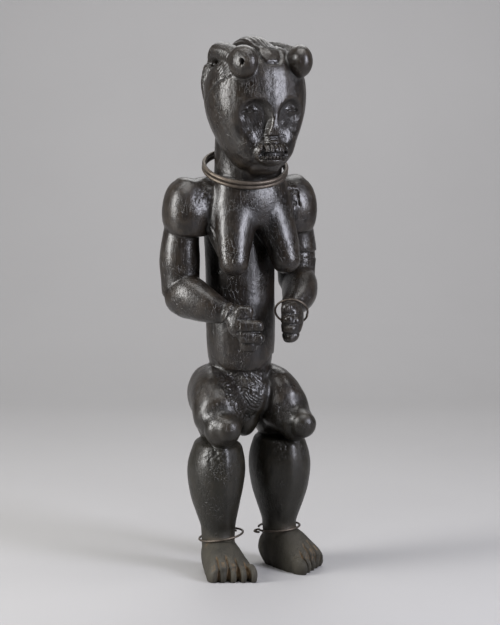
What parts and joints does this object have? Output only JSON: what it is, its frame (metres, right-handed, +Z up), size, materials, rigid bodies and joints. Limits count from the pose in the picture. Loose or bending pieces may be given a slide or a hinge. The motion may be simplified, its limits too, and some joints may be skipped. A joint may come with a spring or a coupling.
{
  "type": "fang reliquary figure",
  "caption": "Standing carved wooden female figure with a large domed head, plaited coiffure ending in two round knobs, hands held before the waist, bent knees, and thin metal rings.",
  "frame": {"origin": "centre of the figure's bounding box in plan, on the level of the soles", "axes": "+Z up through the figure, -Y the way the face looks, +X to the figure's left"},
  "size_m": [0.2028, 0.1574, 0.6415],
  "materials": {
    "oiled_black_wood": "gloss",
    "browned_copper_alloy": "satin"
  },
  "bodies": {
    "root": {"carved_figure": "oiled_black_wood", "neck_ring": "browned_copper_alloy", "left_wrist_ring": "browned_copper_alloy", "right_ankle_ring": "browned_copper_alloy", "left_ankle_ring": "browned_copper_alloy"}
  },
  "joints": []
}
